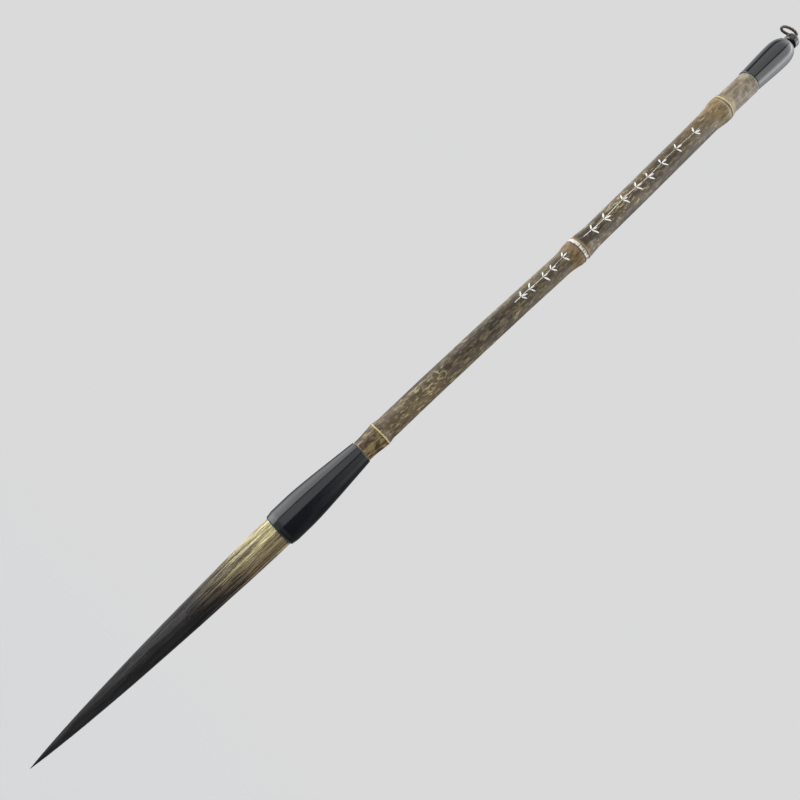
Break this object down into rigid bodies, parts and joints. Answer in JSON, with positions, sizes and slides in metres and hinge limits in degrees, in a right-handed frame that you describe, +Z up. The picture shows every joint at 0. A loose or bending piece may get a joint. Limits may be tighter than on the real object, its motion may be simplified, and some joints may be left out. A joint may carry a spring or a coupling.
{
  "type": "calligraphy brush",
  "caption": "Large calligraphy brush: a long pointed hair tuft in a flared dark ferrule, on a mottled bamboo handle with swollen nodes, a dark tail cap and a small cord loop.",
  "frame": {"origin": "on the handle's centreline where the fingers hold it, 60.5 mm above the ferrule's mouth and 170.3 mm above the tip", "axes": "+Z up the handle towards the tail cap, so the tuft points to -Z; the culm's kink leans to +X and the hanging loop lies to -X; -Y is the side that carries the ornament"},
  "size_m": [0.0134, 0.0134, 0.3725],
  "materials": {
    "bamboo": "brown-stained mottled bamboo under thin clear lacquer",
    "ferrule_black": "satin black",
    "cap_black": "polished black",
    "cover_hair": "animal hair, tan at the root and nearly black towards the tip",
    "inner_hair": "dark animal hair",
    "thread": "wound thread",
    "resin": "melted resin",
    "glue": "set glue",
    "waxed_cord": "thin waxed cord"
  },
  "bodies": {
    "handle": {"handle": "bamboo", "ferrule": "ferrule_black", "tail_cap": "cap_black", "tail_button": "cap_black", "tenon_glue": "glue", "cap_glue": "glue", "root_binding": "thread", "root_resin": "resin", "seat_glue": "glue", "cover_hair_root": "cover_hair", "belly_hair_root": "inner_hair", "core_hair_root": "inner_hair", "loop_knot": "waxed_cord", "cord_tails": "waxed_cord"},
    "tuft_belly": {"cover_hair_belly": "cover_hair", "belly_hair_belly": "inner_hair", "core_hair_belly": "inner_hair"},
    "tuft_tip": {"cover_hair_tip": "cover_hair", "core_hair_tip": "inner_hair"},
    "loop": {"hanging_loop": "waxed_cord"}
  },
  "joints": [
    {"name": "tuft_bend", "type": "hinge", "parent": "handle", "child": "tuft_belly", "pos_m": [0, 0, -0.067], "axis": [0, 1, 0], "range_deg": [-35, 35], "stiffness_Nm_per_rad": 0.05},
    {"name": "tip_bend", "type": "hinge", "parent": "tuft_belly", "child": "tuft_tip", "pos_m": [0, 0, -0.124], "axis": [0, 1, 0], "range_deg": [-40, 40], "stiffness_Nm_per_rad": 0.006},
    {"name": "loop_swing", "type": "hinge", "parent": "handle", "child": "loop", "pos_m": [0, 0, 0.20107], "axis": [0, 1, 0], "range_deg": [-12, 120], "stiffness_Nm_per_rad": 0.00002}
  ]
}
